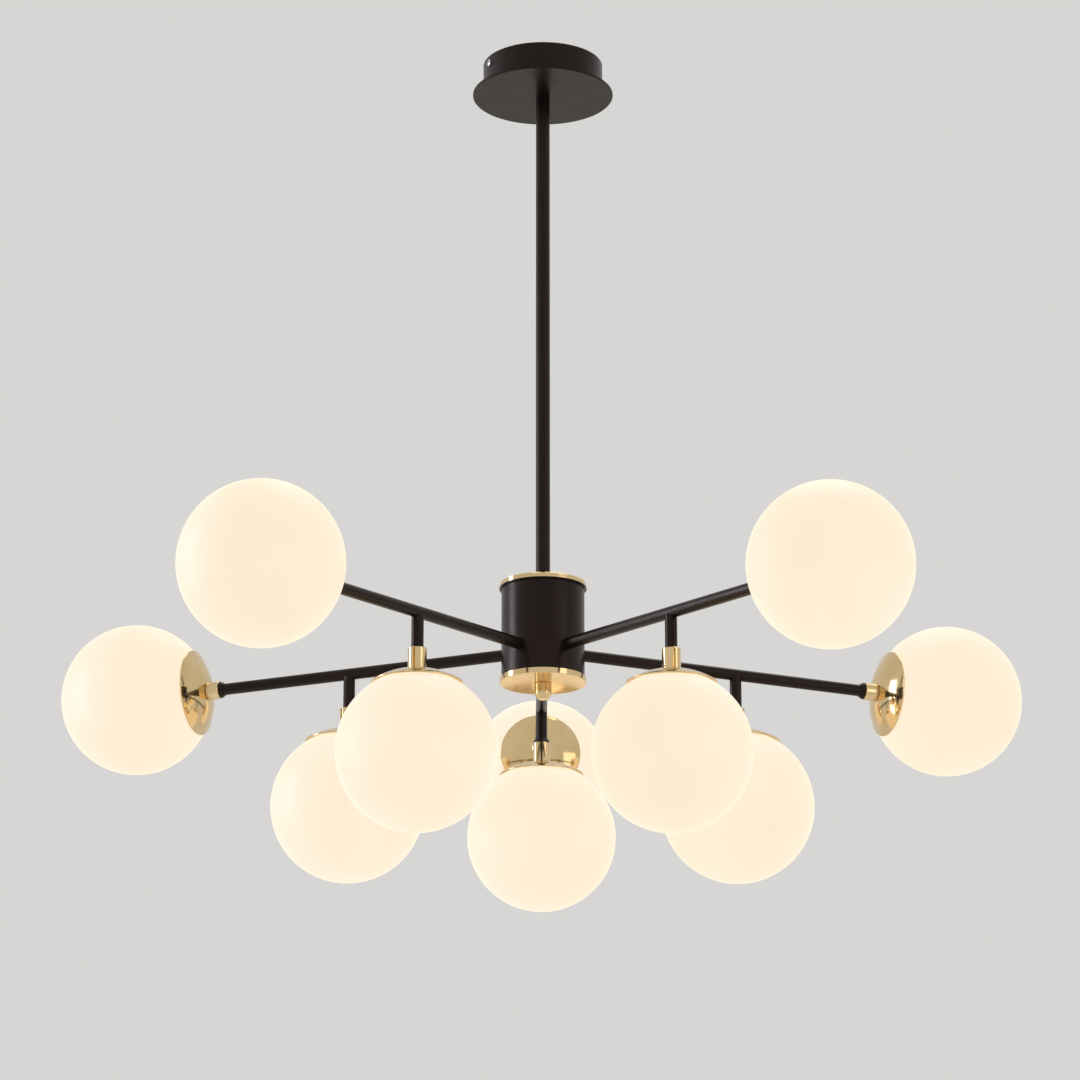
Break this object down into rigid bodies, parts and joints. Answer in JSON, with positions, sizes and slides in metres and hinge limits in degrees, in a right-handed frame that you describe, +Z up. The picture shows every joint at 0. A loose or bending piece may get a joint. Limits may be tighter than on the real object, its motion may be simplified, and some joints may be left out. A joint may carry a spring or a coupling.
{
  "type": "branch chandelier",
  "caption": "Ceiling chandelier: a stem carries a round hub whose straight arms each hold a glass globe at the end and another hanging below.",
  "frame": {"origin": "the middle of the ceiling face, on the stem's axis", "axes": "+Z up into the ceiling, +Y out along the back arm, +X to the right as the picture sees it"},
  "size_m": [0.9616, 0.9219, 0.8318],
  "materials": {
    "black_enamel": "satin",
    "polished_brass": "polished",
    "opal_glass": "gloss",
    "zinc_plated_steel": "satin",
    "white_plastic": "matte",
    "glazed_porcelain": "gloss",
    "frosted_bulb": "matte"
  },
  "bodies": {
    "fixture": {"ceiling_bracket": "zinc_plated_steel", "canopy_cup": "black_enamel", "canopy_plate": "black_enamel", "canopy_side_screws": "zinc_plated_steel", "terminal_block": "white_plastic", "canopy_nipple": "zinc_plated_steel", "canopy_lock_nut": "zinc_plated_steel", "stem_tube": "black_enamel", "hub_top_cover": "polished_brass", "hub_shell": "black_enamel", "hub_bottom_cover": "polished_brass", "hub_lamp_pipe": "zinc_plated_steel", "hub_lock_nuts": "zinc_plated_steel", "arm_back": "black_enamel", "arm_left": "black_enamel", "arm_front_left": "black_enamel", "arm_front_right": "black_enamel", "arm_right": "black_enamel", "drop_back": "black_enamel", "drop_left": "black_enamel", "drop_front_left": "black_enamel", "drop_front_right": "black_enamel", "drop_right": "black_enamel", "arm_nipples": "zinc_plated_steel", "arm_lock_nuts": "zinc_plated_steel", "arm_end_rings": "black_enamel", "end_collars": "polished_brass", "end_nipples": "zinc_plated_steel", "end_lampholders": "glazed_porcelain", "end_bulbs": "frosted_bulb", "dish_end_back": "polished_brass", "dish_end_left": "polished_brass", "dish_end_front_left": "polished_brass", "dish_end_front_right": "polished_brass", "dish_end_right": "polished_brass", "drop_collars": "polished_brass", "drop_nipples": "zinc_plated_steel", "drop_lampholders": "glazed_porcelain", "drop_bulbs": "frosted_bulb", "dish_drop_back": "polished_brass", "dish_drop_left": "polished_brass", "dish_drop_front_left": "polished_brass", "dish_drop_front_right": "polished_brass", "dish_drop_right": "polished_brass"},
    "globe_end_back": {"globe_end_back": "opal_glass"},
    "globe_end_left": {"globe_end_left": "opal_glass"},
    "globe_end_front_left": {"globe_end_front_left": "opal_glass"},
    "globe_end_front_right": {"globe_end_front_right": "opal_glass"},
    "globe_end_right": {"globe_end_right": "opal_glass"},
    "globe_drop_back": {"globe_drop_back": "opal_glass"},
    "globe_drop_left": {"globe_drop_left": "opal_glass"},
    "globe_drop_front_left": {"globe_drop_front_left": "opal_glass"},
    "globe_drop_front_right": {"globe_drop_front_right": "opal_glass"},
    "globe_drop_right": {"globe_drop_right": "opal_glass"},
    "finial": {"finial": "polished_brass"}
  },
  "joints": [
    {"name": "globe_end_back_unscrew", "type": "hinge", "parent": "fixture", "child": "globe_end_back", "pos_m": [0, 0.42671, -0.63215], "axis": [0, 0.9993, -0.0366], "range_deg": [0, 540]},
    {"name": "globe_end_left_unscrew", "type": "hinge", "parent": "fixture", "child": "globe_end_left", "pos_m": [-0.40583, 0.13186, -0.63215], "axis": [-0.9504, 0.3088, -0.0366], "range_deg": [0, 540]},
    {"name": "globe_end_front_left_unscrew", "type": "hinge", "parent": "fixture", "child": "globe_end_front_left", "pos_m": [-0.25082, -0.34522, -0.63215], "axis": [-0.5874, -0.8085, -0.0366], "range_deg": [0, 540]},
    {"name": "globe_end_front_right_unscrew", "type": "hinge", "parent": "fixture", "child": "globe_end_front_right", "pos_m": [0.25082, -0.34522, -0.63215], "axis": [0.5874, -0.8085, -0.0366], "range_deg": [0, 540]},
    {"name": "globe_end_right_unscrew", "type": "hinge", "parent": "fixture", "child": "globe_end_right", "pos_m": [0.40583, 0.13186, -0.63215], "axis": [0.9504, 0.3088, -0.0366], "range_deg": [0, 540]},
    {"name": "globe_drop_back_unscrew", "type": "hinge", "parent": "fixture", "child": "globe_drop_back", "pos_m": [0, 0.19987, -0.75683], "axis": [0, 0, -1], "range_deg": [0, 540]},
    {"name": "globe_drop_left_unscrew", "type": "hinge", "parent": "fixture", "child": "globe_drop_left", "pos_m": [-0.19008, 0.06176, -0.75683], "axis": [0, 0, -1], "range_deg": [0, 540]},
    {"name": "globe_drop_front_left_unscrew", "type": "hinge", "parent": "fixture", "child": "globe_drop_front_left", "pos_m": [-0.11748, -0.1617, -0.75683], "axis": [0, 0, -1], "range_deg": [0, 540]},
    {"name": "globe_drop_front_right_unscrew", "type": "hinge", "parent": "fixture", "child": "globe_drop_front_right", "pos_m": [0.11748, -0.1617, -0.75683], "axis": [0, 0, -1], "range_deg": [0, 540]},
    {"name": "globe_drop_right_unscrew", "type": "hinge", "parent": "fixture", "child": "globe_drop_right", "pos_m": [0.19008, 0.06176, -0.75683], "axis": [0, 0, -1], "range_deg": [0, 540]},
    {"name": "finial_unscrew", "type": "hinge", "parent": "fixture", "child": "finial", "pos_m": [0, 0, -0.6495], "axis": [0, 0, -1], "range_deg": [0, 1080]}
  ]
}
